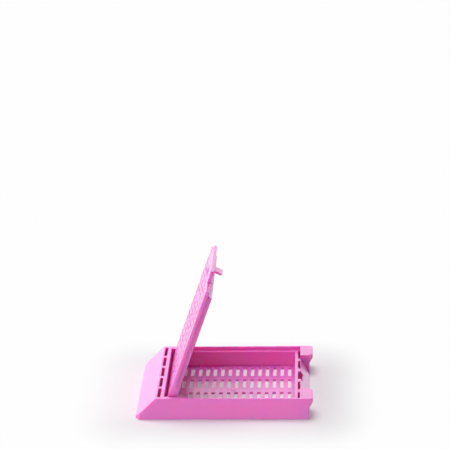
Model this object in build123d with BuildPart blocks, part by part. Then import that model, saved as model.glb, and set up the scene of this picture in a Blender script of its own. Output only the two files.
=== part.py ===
from build123d import *

import os
from math import atan2, cos, degrees, radians, sin, sqrt, tan

# Tissue cassette: a perforated tray with a slanted writing face, and a perforated lid.
# The lid turns on two short pins behind the writing face and snaps down at the other end.
# Sizes are in millimetres. X runs from the writing end to the latch end, Z is up, and
# the origin is the middle of the underside. The lid stands open, as far as open_angle says.

# Tray
length = 41.0
width = 28.5
height = 5.4
side_wall = 1.25
floor_thickness = 0.55
foot_radius = 0.25
front_corner_chamfer = 0.95
rear_corner_radius = 0.5
chamber_corner_radius = 0.5

# Writing end: the slanted face, the plate under it and the bar behind its slots
writing_run = 4.7
front_edge_height = 0.7
writing_plate = 1.0
front_land = 0.44
cross_bar = 0.84

# Flow slots, a row of them across each end of the tray
flow_slot_count = 5
flow_slot_width = 0.72
flow_web = 1.0
flow_margin = 0.85
slotted_plate = 1.0
rear_slot_width = 0.55
rear_slot_length = 4.1

# Perforations, the same pattern in the floor and in the lid
row_pitch = 1.8
slot_width = 0.85
centre_web = 1.95
column_web = 1.47
column_margin = 0.65
row_margin = 0.73
floor_slot_inset = 0.15

# Lid seat: a step inside the rim, which leaves a thin lip outside it
seat_depth = 0.95
lip = 0.45
seat_start = 3.12

# Latch end: two corner blocks with a sloped finger face between them
block_length = 3.0
block_width = 5.35
block_edge_height = 1.0
block_overhang = 0.82
block_rise = 1.15
block_corner_radius = 0.9
notch_chamfer = 0.8
rear_wall = 0.7
finger_land = 0.15
finger_foot = 0.4
finger_wall = 0.8
finger_notch = 0.45
finger_edge = 0.3

# Hinge: the lid's end curls round the axis and carries a pin at each side
bead_radius = 1.4
bead_corner = 0.7
bead_gap = 0.1
hinge_gap = 0.53
saddle_wall = 0.85
pin_radius = 0.5
pin_clearance = 0.06
pin_length = 0.47
pin_end_gap = 0.1

# Lid
lid_plate = 0.8
lid_recess = 0.1
lid_side_gap = 0.2
lid_narrow_gap = 0.12
lid_step_gap = 0.75
lid_rear_gap = 0.2
rib_thickness = 0.5
rib_depth = 1.1
rib_rear_gap = 0.1
tab_side_gap = 0.48
tab_setback = 0.35
tab_chamfer_length = 0.8
tab_chamfer_width = 0.5
window_length = 1.43
window_width = 4.6
hook_width = 2.8
hook_thickness = 0.45
hook_reach = 3.3
hook_lean = 0.2
hook_barb = 0.1
hook_barb_height = 0.5
hook_lead = 0.2

# Moulding marks at the middle of the floor and of the lid
gate_radius = 0.5
gate_depth = 0.12
gate_offset = 1.5

# The lid's opening from closed, in degrees
open_angle = 70.4

# One overrun serves all cuts
overrun = 1.0

# Places along the tray, from the writing end to the latch end
half_width = width / 2
front_x = -length / 2
rear_x = length / 2
slope_top_x = front_x + writing_run
front_slot_x = slope_top_x + front_land
bar_x = front_slot_x + flow_slot_width
bar_face_x = bar_x + cross_bar
hinge_x = bar_face_x + hinge_gap + bead_radius
chamber_front_x = hinge_x + saddle_wall / 2
seat_front_x = hinge_x + seat_start
block_face_x = rear_x - block_length
rear_slot_x = block_face_x - rear_slot_width
chamber_rear_x = rear_slot_x - rear_wall
finger_top_x = block_face_x + finger_land
wall_end_x = rear_x - block_overhang

# Heights
seat_z = height - seat_depth
hinge_z = height - lid_recess - bead_radius
block_edge_z = height - block_edge_height
block_foot_z = block_edge_z - block_rise
flow_ceiling_z = height - slotted_plate

# Widths and the places across the tray
chamber_width = width - 2 * side_wall
seat_width = width - 2 * lip
finger_gap = width - 2 * block_width
flow_slot_length = (
    width - 2 * flow_margin - (flow_slot_count - 1) * flow_web
) / flow_slot_count
flow_pitch = flow_slot_length + flow_web
flow_places = [
    (index - (flow_slot_count - 1) / 2) * flow_pitch for index in range(flow_slot_count)
]

# The perforated field starts row_margin behind the chamber's front, with as many rows as fit
field_length = chamber_rear_x - chamber_front_x
row_count = int((field_length - 2 * row_margin - slot_width) // row_pitch) + 1
field_run = (row_count - 1) * row_pitch + slot_width
field_x = chamber_front_x + row_margin + field_run / 2
slot_length = (chamber_width - 2 * column_margin - centre_web - 2 * column_web) / 4
inner_column_y = (centre_web + slot_length) / 2
outer_column_y = inner_column_y + slot_length + column_web

# The slanted faces of the two ends, as angles from level
writing_angle = atan2(height - front_edge_height, writing_run)
finger_angle = atan2(seat_z - finger_foot, wall_end_x - finger_top_x)

# Lid sizes, measured from the hinge axis
narrow_half = chamber_width / 2 - lid_narrow_gap
wide_half = seat_width / 2 - lid_side_gap
tab_half = finger_gap / 2 - tab_side_gap
lid_step = seat_start + lid_step_gap
lid_shoulder = block_face_x - lid_rear_gap - hinge_x
lid_tip = rear_x - tab_setback - hinge_x
rib_end = chamber_rear_x - rib_rear_gap - hinge_x
plate_under = bead_radius - lid_plate
rib_under = plate_under - rib_depth
hook_end = bead_radius - hook_reach
hook_inner = lid_shoulder - hook_lean
hook_outer = hook_inner + hook_thickness
bead_reach = (bead_radius - bead_corner) * sqrt(2) + bead_corner

# The lid's own planes at the hinge axis: one lies along the lid and one cuts through it
lean = radians(open_angle)
hinge_axis = (hinge_x, 0, hinge_z)
along_lid = (cos(lean), 0, sin(lean))
out_of_lid = (-sin(lean), 0, cos(lean))
lid_plane = Plane(origin=hinge_axis, x_dir=along_lid, z_dir=out_of_lid)
lid_section = Plane(origin=hinge_axis, x_dir=along_lid, z_dir=(0, -1, 0))

writing_plane = Plane(
    origin=(slope_top_x, 0, height),
    x_dir=(cos(writing_angle), 0, sin(writing_angle)),
    z_dir=(-sin(writing_angle), 0, cos(writing_angle)),
)


def perforations(plane, centre, inset):
    """The four columns of slots, drawn on a plane, each slot shorter by inset at both ends."""
    with BuildSketch(plane) as pattern:
        with Locations((centre, 0)):
            for column_y in (inner_column_y, outer_column_y):
                with GridLocations(row_pitch, 2 * column_y, row_count, 2):
                    Rectangle(slot_width, slot_length - 2 * inset)
    return pattern.sketch


def bead(plane, hollow):
    """The lid's end seen along its axis: round, with a tighter corner towards its face.
    Hollow, it is the curl: half a turn of the lid's plate, open towards the lid."""
    with BuildSketch(plane) as shape:
        Circle(bead_radius)
        with Locations((-bead_radius / 2, bead_radius / 2)):
            Rectangle(bead_radius, bead_radius)
        fillet(shape.vertices().sort_by_distance((0, 0))[-1], bead_corner)
        if hollow:
            Circle(plate_under, mode=Mode.SUBTRACT)
            with Locations((bead_radius / 2, 0)):
                Rectangle(bead_radius, 2 * bead_radius, mode=Mode.SUBTRACT)
    return shape.sketch


def profile(plane, points):
    """A straight-sided outline, drawn on a plane."""
    with BuildSketch(plane) as shape:
        with BuildLine():
            Polyline(*points, close=True)
        make_face()
    return shape.sketch


# The plate under the writing face has an even thickness, so its underside is a
# parallel line that starts at the foot and ends under the slotted strip.
writing_drop = writing_plate / cos(writing_angle)
cell_foot_x = front_x + (writing_drop - front_edge_height) / tan(writing_angle)
cell_top_x = front_x + (flow_ceiling_z + writing_drop - front_edge_height) / tan(writing_angle)
front_cell = [
    (cell_foot_x - overrun / tan(writing_angle), -overrun),
    (cell_top_x, flow_ceiling_z),
    (front_slot_x, flow_ceiling_z),
    (front_slot_x, height + overrun),
    (bar_x, height + overrun),
    (bar_x, -overrun),
]

# The wall under the finger face is parallel too, and the flow slots between the blocks
# run down into the space behind it. The middle one also notches the wall, far enough for
# the lid's hook, and leaves the wall's top edge finger_edge thick there.
finger_lean = (wall_end_x - finger_top_x) / (seat_z - finger_foot)
finger_inside_x = finger_top_x - finger_wall / sin(finger_angle)
finger_inside_foot_x = finger_inside_x + (seat_z + overrun) * finger_lean
slot_foot_z = seat_z - (block_face_x - finger_inside_x) / finger_lean
finger_slot = [
    (rear_slot_x, -overrun),
    (finger_inside_foot_x, -overrun),
    (block_face_x, slot_foot_z),
    (block_face_x, seat_z + overrun),
    (rear_slot_x, seat_z + overrun),
]
notch_x = block_face_x + finger_notch
notch_foot_z = seat_z - (notch_x - finger_inside_x) / finger_lean
notch_top_z = seat_z - (notch_x + finger_edge - finger_top_x) / finger_lean
finger_cell = [
    (rear_slot_x, -overrun),
    (finger_inside_foot_x, -overrun),
    (notch_x, notch_foot_z),
    (notch_x, notch_top_z),
    (rear_x, notch_top_z),
    (rear_x, seat_z + overrun),
    (rear_slot_x, seat_z + overrun),
]

with BuildPart() as base:
    # Outer body, with chamfered corners at the writing end
    with BuildSketch() as plan:
        with Locations(((front_x + wall_end_x) / 2, 0)):
            Rectangle(wall_end_x - front_x, width)
        chamfer(plan.vertices().group_by(Axis.X)[0], front_corner_chamfer)
        fillet(plan.vertices().group_by(Axis.X)[-1], rear_corner_radius)
    extrude(amount=height)
    fillet(base.edges().group_by(Axis.Z)[0], foot_radius)

    # Corner blocks, which overhang the end wall
    with BuildSketch(Plane.XY.offset(block_foot_z)) as blocks:
        with Locations((rear_x - block_length / 2, 0)):
            with GridLocations(0, width - block_width, 1, 2):
                Rectangle(block_length, block_width)
        outer_corners = blocks.vertices().group_by(Axis.X)[-1].sort_by(Axis.Y)
        fillet([outer_corners[0], outer_corners[-1]], block_corner_radius)
        inner_corners = blocks.vertices().group_by(Axis.X)[-1].sort_by(Axis.Y)[1:-1]
        chamfer(inner_corners, notch_chamfer)
    extrude(amount=height - block_foot_z)
    under_block = [
        (wall_end_x, block_foot_z - overrun),
        (wall_end_x, block_foot_z),
        (rear_x, block_edge_z),
        (rear_x + overrun, block_edge_z),
        (rear_x + overrun, block_foot_z - overrun),
    ]
    extrude(profile(Plane.XZ, under_block), amount=half_width, both=True, mode=Mode.SUBTRACT)

    # Slanted writing face
    split(bisect_by=writing_plane, keep=Keep.BOTTOM)

    # Chamber, with the channel for the hinge at its front
    with BuildSketch(Plane.XY.offset(floor_thickness)) as chamber:
        with Locations(((bar_face_x + chamber_rear_x) / 2, 0)):
            Rectangle(chamber_rear_x - bar_face_x, chamber_width)
        fillet(chamber.vertices().group_by(Axis.X)[-1], chamber_corner_radius)
    extrude(amount=height, mode=Mode.SUBTRACT)

    # Seat for the lid inside the rim
    with BuildSketch(Plane.XY.offset(seat_z)):
        with Locations(((seat_front_x + block_face_x) / 2, 0)):
            Rectangle(block_face_x - seat_front_x, seat_width)
    extrude(amount=height, mode=Mode.SUBTRACT)

    # Saddle wall under the lid's curl, hollowed to clear it
    with BuildSketch(Plane.XY.offset(floor_thickness)):
        with Locations((hinge_x, 0)):
            Rectangle(saddle_wall, chamber_width)
    extrude(amount=hinge_z - floor_thickness)
    with BuildSketch(Plane.XZ):
        with Locations((hinge_x, hinge_z)):
            Circle(bead_reach + bead_gap)
    extrude(amount=chamber_width / 2, both=True, mode=Mode.SUBTRACT)

    # Blind sockets for the pins, in the side walls
    with BuildSketch(Plane.XZ):
        with Locations((hinge_x, hinge_z)):
            Circle(pin_radius + pin_clearance)
    socket_reach = narrow_half + pin_length + pin_end_gap
    extrude(amount=socket_reach, both=True, mode=Mode.SUBTRACT)

    # Finger face between the blocks
    above_finger_face = [
        (block_face_x, seat_z),
        (finger_top_x, seat_z),
        (wall_end_x, finger_foot),
        (rear_x + overrun, finger_foot),
        (rear_x + overrun, height + overrun),
        (block_face_x, height + overrun),
    ]
    finger_space = profile(Plane.XZ, above_finger_face)
    extrude(finger_space, amount=finger_gap / 2, both=True, mode=Mode.SUBTRACT)

    # Flow slots at the writing end, each over its own cell
    for place in flow_places:
        cell = profile(Plane.XZ.offset(-place), front_cell)
        extrude(cell, amount=flow_slot_length / 2, both=True, mode=Mode.SUBTRACT)

    # Flow slots at the latch end: three open between the blocks, the middle one of them
    # with the notch for the hook
    for place in flow_places[1:-1]:
        cell = profile(Plane.XZ.offset(-place), finger_slot if place else finger_cell)
        extrude(cell, amount=rear_slot_length / 2, both=True, mode=Mode.SUBTRACT)
    for place in (flow_places[0], flow_places[-1]):
        side = 1 if place > 0 else -1
        with BuildSketch(Plane.XY.offset(seat_z)):
            with Locations((rear_slot_x + rear_slot_width / 2, place)):
                Rectangle(rear_slot_width, rear_slot_length)
        extrude(amount=-height, mode=Mode.SUBTRACT)
        cell_inner = finger_gap / 2 + finger_wall
        cell_outer = half_width - flow_margin
        with BuildSketch(Plane.XY.offset(flow_ceiling_z)):
            with Locations(
                (
                    (rear_slot_x + wall_end_x - rear_wall) / 2,
                    side * (cell_inner + cell_outer) / 2,
                )
            ):
                Rectangle(wall_end_x - rear_wall - rear_slot_x, cell_outer - cell_inner)
        extrude(amount=-height, mode=Mode.SUBTRACT)

    # Perforated floor, with the small disc left where the mould was filled
    floor_slots = perforations(Plane.XY.offset(floor_thickness), field_x, floor_slot_inset)
    extrude(floor_slots, amount=-height, mode=Mode.SUBTRACT)
    with BuildSketch(Plane.XY.offset(floor_thickness)):
        with Locations((gate_offset, 0)):
            Circle(gate_radius)
    extrude(amount=gate_depth)

with BuildPart() as lid:
    # Plate: narrow beside the hinge, wide on the seat, and a tab between the blocks
    with BuildSketch(lid_plane.offset(bead_radius)) as outline:
        with Locations((lid_shoulder / 2, 0)):
            Rectangle(lid_shoulder, 2 * narrow_half)
        with Locations(((lid_step + lid_shoulder) / 2, 0)):
            Rectangle(lid_shoulder - lid_step, 2 * wide_half)
        with Locations((lid_tip / 2, 0)):
            Rectangle(lid_tip, 2 * tab_half)
        tip_corners = outline.vertices().group_by(Axis.X)[-1]
        chamfer(tip_corners, tab_chamfer_length, tab_chamfer_width)
    extrude(amount=-lid_plate)

    # Rib round the underside, which drops inside the chamber
    with BuildSketch(lid_plane.offset(plate_under)) as rib:
        with Locations((rib_end / 2, 0)):
            Rectangle(rib_end, 2 * narrow_half)
        chamfer(rib.vertices().group_by(Axis.X)[-1], chamber_corner_radius)
        with Locations(((rib_end - rib_thickness) / 2, 0)):
            Rectangle(
                rib_end - rib_thickness,
                2 * (narrow_half - rib_thickness),
                mode=Mode.SUBTRACT,
            )
    extrude(amount=-rib_depth)
    rib_ramp = [
        (rib_end - rib_thickness, rib_under - overrun),
        (rib_end - rib_thickness, rib_under),
        (rib_end, plate_under),
        (rib_end + overrun, plate_under),
        (rib_end + overrun, rib_under - overrun),
    ]
    extrude(profile(lid_section, rib_ramp), amount=half_width, both=True, mode=Mode.SUBTRACT)

    # Curl half round the hinge axis
    extrude(bead(lid_section, True), amount=narrow_half, both=True)

    # A cheek closes each end of the curl and carries a pin
    for side in (-1, 1):
        cheek = bead(lid_section.offset(side * narrow_half), False)
        extrude(cheek, amount=-side * rib_thickness)
        with BuildSketch(lid_section.offset(side * narrow_half)):
            Circle(pin_radius)
        extrude(amount=side * pin_length)

    lid_slots = perforations(lid_plane.offset(bead_radius), field_x - hinge_x, 0)
    extrude(lid_slots, amount=-lid_plate, mode=Mode.SUBTRACT)

    # Window in front of the hook
    with BuildSketch(lid_plane.offset(bead_radius)):
        with Locations((lid_shoulder - window_length / 2, 0)):
            Rectangle(window_length, window_width)
    extrude(amount=-lid_plate, mode=Mode.SUBTRACT)

    # Snap hook, with its barb towards the chamber
    with BuildSketch(lid_section):
        with BuildLine():
            Polyline(
                (lid_shoulder, plate_under),
                (hook_inner, hook_end + hook_barb_height),
                (hook_inner - hook_barb, hook_end + hook_barb_height),
                (hook_inner + hook_lead, hook_end),
                (hook_outer, hook_end),
                (lid_shoulder + hook_thickness, plate_under),
                close=True,
            )
        make_face()
    extrude(amount=hook_width / 2, both=True)

    # Shallow dimple where the mould was filled
    with BuildSketch(lid_plane.offset(bead_radius)):
        with Locations((gate_offset - hinge_x, 0)):
            Circle(gate_radius)
    extrude(amount=-gate_depth, mode=Mode.SUBTRACT)

base.part.label = "base"
lid.part.label = "lid"

os.makedirs("parts", exist_ok=True)
export_step(base.part, "parts/base.step")
export_step(lid.part, "parts/lid.step")

print("writing face angle", round(degrees(writing_angle), 1))
print("rows", row_count, "slot length", round(slot_length, 2))
for piece in (base.part, lid.part):
    print(piece.label, round(piece.volume, 1), len(piece.solids()), "solids")
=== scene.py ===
import math

import bpy
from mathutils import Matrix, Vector


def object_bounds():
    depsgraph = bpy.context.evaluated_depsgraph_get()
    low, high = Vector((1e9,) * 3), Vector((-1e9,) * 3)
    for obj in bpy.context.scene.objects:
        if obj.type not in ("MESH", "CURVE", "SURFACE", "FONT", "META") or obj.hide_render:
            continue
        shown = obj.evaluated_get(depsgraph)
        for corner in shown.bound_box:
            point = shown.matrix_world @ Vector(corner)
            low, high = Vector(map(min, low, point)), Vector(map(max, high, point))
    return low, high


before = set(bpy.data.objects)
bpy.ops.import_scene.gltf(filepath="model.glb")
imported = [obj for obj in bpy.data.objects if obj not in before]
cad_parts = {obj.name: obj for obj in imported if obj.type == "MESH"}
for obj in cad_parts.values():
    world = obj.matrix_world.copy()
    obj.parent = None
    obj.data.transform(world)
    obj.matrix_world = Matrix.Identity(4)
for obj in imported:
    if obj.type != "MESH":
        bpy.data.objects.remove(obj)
cad_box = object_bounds()

MM = 0.001

# Camera, from a fit to the photograph: where it stands, how it is turned, and its focal
# length in pixels of the photograph's frame
IMAGE_SIDE_PX = 450
CAMERA_PLACE = Vector((20.04, -375.55, 187.79)) * MM
CAMERA_TURN = (math.radians(68.883), math.radians(1.366), math.radians(2.4345))
CAMERA_FOCAL_PX = 1759.7
CAMERA_NEAR = 10 * MM
CAMERA_FAR = 20.0

# Colours, linear
PINK = (0.945, 0.19, 0.67)
PINK_DEEP = (0.925, 0.17, 0.64)
STAGE_WHITE = (0.92, 0.92, 0.925)

# The slanted writing face, in the part's frame: its upper and its lower edge, and how far
# from its plane a point still counts as being on it
FACE_TOP_X = -15.8 * MM
FACE_TOP_Z = 5.4 * MM
FACE_FOOT_X = -20.5 * MM
FACE_FOOT_Z = 0.7 * MM
FACE_DEPTH = 0.15 * MM

# Skin of the moulding: its gloss, its fine grain, the coarser frost of the writing face, and
# the slow and the quick change of its colour. A detail is a noise's number of finer layers.
PLASTIC_IOR = 1.5
SKIN_ROUGHNESS = (0.29, 0.36)
FROST_ROUGHNESS = 0.4
HAZE_WEIGHT = 1.0
HAZE_ROUGHNESS = 0.31
GRAIN_SIZE = 0.16 * MM
GRAIN_DEPTH = 0.006 * MM
GRAIN_DETAIL = 2
FROST_SIZE = 0.1 * MM
FROST_DEPTH = 0.007 * MM
FROST_DETAIL = 1
FLOW_SIZE = 9 * MM
FLOW_DETAIL = 3
SPECK_SIZE = 0.35 * MM
SPECK_DETAIL = 2

# How far light travels in the plastic: red, green and blue, times a length
SCATTER_REACH = (1.8, 0.3, 0.55)
SCATTER_SCALE = 0.7 * MM

# Rounding of the sharp outer edges: the full width on edges longer than LONG_EDGE, a share
# of it on the shorter ones, and none below SHORT_EDGE
EDGE_WIDTH = 0.12 * MM
EDGE_SEGMENTS = 2
EDGE_ANGLE = math.radians(38)
LONG_EDGE = 5 * MM
SHORT_EDGE = 1 * MM
SHORT_EDGE_SHARE = 0.5
WELD_GAP = 0.001 * MM
FLAT_ANGLE = math.radians(0.5)

# Lamps, which all point at the middle of the tray: place and size in metres, and power
LAMPS = {
    "overhead": ((0, 0.05, 0.7), (0.5, 0.5), 3.6),
    "left": ((-0.7, 0.1, 0.3), (0.4, 0.4), 1.8),
    "low_left": ((-0.55, -0.5, 0.1), (0.9, 0.19), 3.2),
    "back": ((0, 0.7, 0.35), (0.7, 0.4), 0.5),
    "back_left": ((-0.4, 0.75, 0.12), (0.6, 0.22), 0.6),
}

# World: its light from the back right, and where its white begins in the object's shine, as
# the backward share of a direction
WORLD_RIGHT = 0.45
SHINE_FADE = (-0.3, 0.2)

# Floor: how far it fades to plain white for the camera, and over which distance from the tray
FLOOR_HALF_SIDE = 2.0
FLOOR_LIFT = 0.96
FLOOR_LIFT_REACH = 16 * MM
TRAY_HALF_LENGTH, TRAY_HALF_WIDTH = cad_box[1][0], cad_box[1][1]

# Places of the colour sockets on a Mix node, whose names stand for other types too
MIX_SHARE, MIX_FIRST, MIX_SECOND = 0, 6, 7
MIX_RESULT = 2


def make_camera():
    """The photograph's camera."""
    data = bpy.data.cameras.new("camera")
    data.angle = 2 * math.atan(IMAGE_SIDE_PX / 2 / CAMERA_FOCAL_PX)
    data.clip_start = CAMERA_NEAR
    data.clip_end = CAMERA_FAR
    camera = bpy.data.objects.new("camera", data)
    camera.location = CAMERA_PLACE
    camera.rotation_euler = CAMERA_TURN
    bpy.context.scene.collection.objects.link(camera)
    bpy.context.scene.camera = camera


def math_node(nodes, links, operation, first, second):
    """A math node on two values, each a number or another node's output."""
    node = nodes.new("ShaderNodeMath")
    node.operation = operation
    for socket, value in zip(node.inputs, (first, second)):
        if isinstance(value, (int, float)):
            socket.default_value = value
        else:
            links.new(value, socket)
    return node.outputs[0]


def background(nodes, strength):
    """A white background of the given strength."""
    node = nodes.new("ShaderNodeBackground")
    node.inputs["Color"].default_value = (1, 1, 1, 1)
    node.inputs["Strength"].default_value = strength
    return node


def make_world():
    """A white studio, whose back right side lights the object."""
    world = bpy.data.worlds.new("studio")
    bpy.context.scene.world = world
    world.use_nodes = True
    nodes, links = world.node_tree.nodes, world.node_tree.links
    nodes.clear()
    coord = nodes.new("ShaderNodeTexCoord")
    split = nodes.new("ShaderNodeSeparateXYZ")
    links.new(coord.outputs["Generated"], split.inputs[0])
    behind = math_node(nodes, links, "GREATER_THAN", split.outputs["Y"], 0)
    to_right = math_node(nodes, links, "MAXIMUM", split.outputs["X"], 0)
    side = math_node(nodes, links, "MULTIPLY", behind, to_right)
    lighting = background(nodes, 0)
    links.new(
        math_node(nodes, links, "MULTIPLY", side, WORLD_RIGHT), lighting.inputs["Strength"]
    )

    # Shine shows white walls behind and beside the object, and a dark room in front of it
    fade = nodes.new("ShaderNodeMapRange")
    fade.interpolation_type = "SMOOTHSTEP"
    fade.inputs["From Min"].default_value, fade.inputs["From Max"].default_value = SHINE_FADE
    links.new(split.outputs["Y"], fade.inputs["Value"])
    path = nodes.new("ShaderNodeLightPath")
    in_shine = math_node(
        nodes, links, "MULTIPLY", path.outputs["Is Glossy Ray"], fade.outputs[0]
    )
    seen = math_node(nodes, links, "MAXIMUM", path.outputs["Is Camera Ray"], in_shine)
    white = background(nodes, 1)
    mix = nodes.new("ShaderNodeMixShader")
    links.new(seen, mix.inputs["Fac"])
    links.new(lighting.outputs[0], mix.inputs[1])
    links.new(white.outputs[0], mix.inputs[2])
    out = nodes.new("ShaderNodeOutputWorld")
    links.new(mix.outputs[0], out.inputs["Surface"])


def make_lamp(name, place, size, power):
    """A rectangular lamp that points at the origin."""
    data = bpy.data.lights.new(name, "AREA")
    data.shape = "RECTANGLE"
    data.size, data.size_y = size
    data.energy = power
    lamp = bpy.data.objects.new(name, data)
    lamp.location = place
    lamp.rotation_euler = (-Vector(place)).to_track_quat("-Z", "Y").to_euler()
    bpy.context.scene.collection.objects.link(lamp)


def distance_from_tray(nodes, links):
    """How far a point of the floor is from the tray's outline, 0 inside it."""
    coord = nodes.new("ShaderNodeTexCoord")
    split = nodes.new("ShaderNodeSeparateXYZ")
    links.new(coord.outputs["Object"], split.inputs[0])
    squares = []
    for axis, half in (("X", TRAY_HALF_LENGTH), ("Y", TRAY_HALF_WIDTH)):
        across = math_node(nodes, links, "ABSOLUTE", split.outputs[axis], 0)
        beyond = math_node(nodes, links, "SUBTRACT", across, half)
        outside = math_node(nodes, links, "MAXIMUM", beyond, 0)
        squares.append(math_node(nodes, links, "POWER", outside, 2))
    return math_node(nodes, links, "SQRT", math_node(nodes, links, "ADD", *squares), 0)


def make_floor():
    """White table that keeps the object's shadow and fades to plain white away from it."""
    mesh = bpy.data.meshes.new("floor")
    signs = ((-1, -1), (1, -1), (1, 1), (-1, 1))
    corners = [(x * FLOOR_HALF_SIDE, y * FLOOR_HALF_SIDE, 0) for x, y in signs]
    mesh.from_pydata(corners, [], [(0, 1, 2, 3)])
    floor = bpy.data.objects.new("floor", mesh)
    bpy.context.scene.collection.objects.link(floor)
    material = bpy.data.materials.new("stage_white")
    material.use_nodes = True
    nodes, links = material.node_tree.nodes, material.node_tree.links
    nodes.clear()
    diffuse = nodes.new("ShaderNodeBsdfDiffuse")
    diffuse.inputs["Color"].default_value = (*STAGE_WHITE, 1)
    glow = nodes.new("ShaderNodeEmission")
    path = nodes.new("ShaderNodeLightPath")
    fade = nodes.new("ShaderNodeMapRange")
    fade.interpolation_type = "SMOOTHSTEP"
    fade.inputs["From Max"].default_value = FLOOR_LIFT_REACH
    fade.inputs["To Max"].default_value = FLOOR_LIFT
    links.new(distance_from_tray(nodes, links), fade.inputs["Value"])
    in_view = math_node(
        nodes, links, "MULTIPLY", path.outputs["Is Camera Ray"], fade.outputs[0]
    )
    seen = math_node(nodes, links, "MAXIMUM", in_view, path.outputs["Is Glossy Ray"])
    mix = nodes.new("ShaderNodeMixShader")
    links.new(seen, mix.inputs["Fac"])
    links.new(diffuse.outputs[0], mix.inputs[1])
    links.new(glow.outputs[0], mix.inputs[2])
    out = nodes.new("ShaderNodeOutputMaterial")
    links.new(mix.outputs[0], out.inputs["Surface"])
    mesh.materials.append(material)


def noise(nodes, links, coordinates, size, detail):
    """Noise with blobs of the given size."""
    node = nodes.new("ShaderNodeTexNoise")
    node.inputs["Scale"].default_value = 1 / size
    node.inputs["Detail"].default_value = detail
    links.new(coordinates, node.inputs["Vector"])
    return node.outputs["Fac"]


def writing_face_mask(nodes, links, coordinates):
    """1 on the slanted writing face and 0 on the rest of the moulding."""
    split = nodes.new("ShaderNodeSeparateXYZ")
    links.new(coordinates, split.inputs[0])
    slope = (FACE_TOP_Z - FACE_FOOT_Z) / (FACE_TOP_X - FACE_FOOT_X)
    run = math_node(nodes, links, "SUBTRACT", split.outputs["X"], FACE_TOP_X)
    rise = math_node(nodes, links, "MULTIPLY", run, slope)
    plane_height = math_node(nodes, links, "ADD", rise, FACE_TOP_Z)
    apart = math_node(nodes, links, "SUBTRACT", split.outputs["Z"], plane_height)
    away = math_node(nodes, links, "ABSOLUTE", apart, 0)
    on_plane = math_node(nodes, links, "LESS_THAN", away, FACE_DEPTH)
    before_top = math_node(nodes, links, "LESS_THAN", split.outputs["X"], FACE_TOP_X)
    return math_node(nodes, links, "MULTIPLY", on_plane, before_top)


def moulded_plastic():
    """Translucent satin acetal: light spreads in it, and its skin has a fine grain."""
    material = bpy.data.materials.new("moulded_plastic")
    material.use_nodes = True
    nodes, links = material.node_tree.nodes, material.node_tree.links
    shader = nodes["Principled BSDF"]
    coord = nodes.new("ShaderNodeTexCoord")
    place = coord.outputs["Object"]
    frosted = writing_face_mask(nodes, links, place)

    flow = noise(nodes, links, place, FLOW_SIZE, FLOW_DETAIL)
    speck = noise(nodes, links, place, SPECK_SIZE, SPECK_DETAIL)
    blend = math_node(nodes, links, "MULTIPLY", flow, speck)
    colour = nodes.new("ShaderNodeMix")
    colour.data_type = "RGBA"
    colour.inputs[MIX_FIRST].default_value = (*PINK, 1)
    colour.inputs[MIX_SECOND].default_value = (*PINK_DEEP, 1)
    links.new(blend, colour.inputs[MIX_SHARE])
    links.new(colour.outputs[MIX_RESULT], shader.inputs["Base Color"])

    skin = nodes.new("ShaderNodeMapRange")
    skin.inputs["To Min"].default_value, skin.inputs["To Max"].default_value = SKIN_ROUGHNESS
    links.new(flow, skin.inputs["Value"])
    rough_share = math_node(nodes, links, "SUBTRACT", FROST_ROUGHNESS, skin.outputs[0])
    rough_added = math_node(nodes, links, "MULTIPLY", rough_share, frosted)
    roughness = math_node(nodes, links, "ADD", skin.outputs[0], rough_added)
    links.new(roughness, shader.inputs["Roughness"])
    shader.inputs["IOR"].default_value = PLASTIC_IOR
    shader.inputs["Coat Weight"].default_value = HAZE_WEIGHT
    shader.inputs["Coat Roughness"].default_value = HAZE_ROUGHNESS

    shader.inputs["Subsurface Weight"].default_value = 1.0
    shader.inputs["Subsurface Radius"].default_value = SCATTER_REACH
    shader.inputs["Subsurface Scale"].default_value = SCATTER_SCALE

    grain = nodes.new("ShaderNodeBump")
    grain.inputs["Distance"].default_value = GRAIN_DEPTH
    links.new(noise(nodes, links, place, GRAIN_SIZE, GRAIN_DETAIL), grain.inputs["Height"])
    frost = nodes.new("ShaderNodeBump")
    frost.inputs["Distance"].default_value = FROST_DEPTH
    links.new(frosted, frost.inputs["Strength"])
    links.new(noise(nodes, links, place, FROST_SIZE, FROST_DETAIL), frost.inputs["Height"])
    links.new(grain.outputs["Normal"], frost.inputs["Normal"])
    links.new(frost.outputs["Normal"], shader.inputs["Normal"])
    return material


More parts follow.
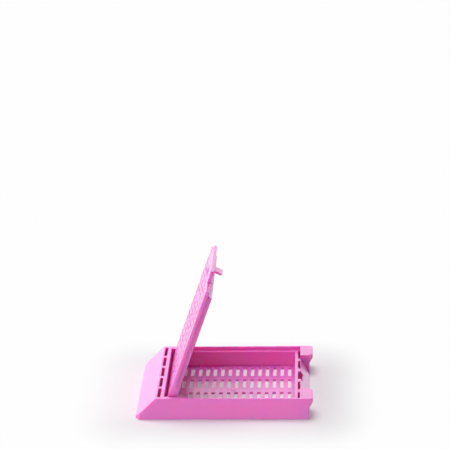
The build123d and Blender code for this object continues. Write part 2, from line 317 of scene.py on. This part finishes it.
def edge_marker():
    """Geometry nodes that give the long sharp outer edges a weight for the rounding."""
    group = bpy.data.node_groups.new("edge_marker", "GeometryNodeTree")
    for in_out in ("INPUT", "OUTPUT"):
        group.interface.new_socket("Geometry", in_out=in_out, socket_type="NodeSocketGeometry")
    nodes, links = group.nodes, group.links
    source = nodes.new("NodeGroupInput")
    result = nodes.new("NodeGroupOutput")
    turn = nodes.new("GeometryNodeInputMeshEdgeAngle").outputs["Signed Angle"]
    ends = nodes.new("GeometryNodeInputMeshEdgeVertices")
    span = nodes.new("ShaderNodeVectorMath")
    span.operation = "DISTANCE"
    links.new(ends.outputs["Position 1"], span.inputs[0])
    links.new(ends.outputs["Position 2"], span.inputs[1])
    length = span.outputs["Value"]
    sharp = math_node(nodes, links, "GREATER_THAN", turn, EDGE_ANGLE)
    short = math_node(nodes, links, "GREATER_THAN", length, SHORT_EDGE)
    long = math_node(nodes, links, "GREATER_THAN", length, LONG_EDGE)
    both = math_node(nodes, links, "ADD", short, long)
    weight = math_node(nodes, links, "MULTIPLY", both, SHORT_EDGE_SHARE)
    store = nodes.new("GeometryNodeStoreNamedAttribute")
    store.data_type = "FLOAT"
    store.domain = "EDGE"
    store.inputs["Name"].default_value = "bevel_weight_edge"
    links.new(math_node(nodes, links, "MULTIPLY", sharp, weight), store.inputs["Value"])
    links.new(source.outputs[0], store.inputs["Geometry"])
    links.new(store.outputs["Geometry"], result.inputs[0])
    return group


def dress(node, material, marker):
    """Gives a CAD node its material and rounds its outer edges, as a mould leaves them."""
    node.data.materials.clear()
    node.data.materials.append(material)
    weld = node.modifiers.new("weld", "WELD")
    weld.merge_threshold = WELD_GAP
    flat = node.modifiers.new("flat", "DECIMATE")
    flat.decimate_type = "DISSOLVE"
    flat.angle_limit = FLAT_ANGLE
    mark = node.modifiers.new("mark", "NODES")
    mark.node_group = marker
    bevel = node.modifiers.new("bevel", "BEVEL")
    bevel.limit_method = "WEIGHT"
    bevel.width = EDGE_WIDTH
    bevel.segments = EDGE_SEGMENTS
    bevel.use_clamp_overlap = False
    bevel.harden_normals = True


make_camera()
make_world()
make_floor()
for name, (place, size, power) in LAMPS.items():
    make_lamp(name, place, size, power)
plastic = moulded_plastic()
outer_edges = edge_marker()
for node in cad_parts.values():
    dress(node, plastic, outer_edges)

bpy.context.scene.view_settings.view_transform = "Standard"
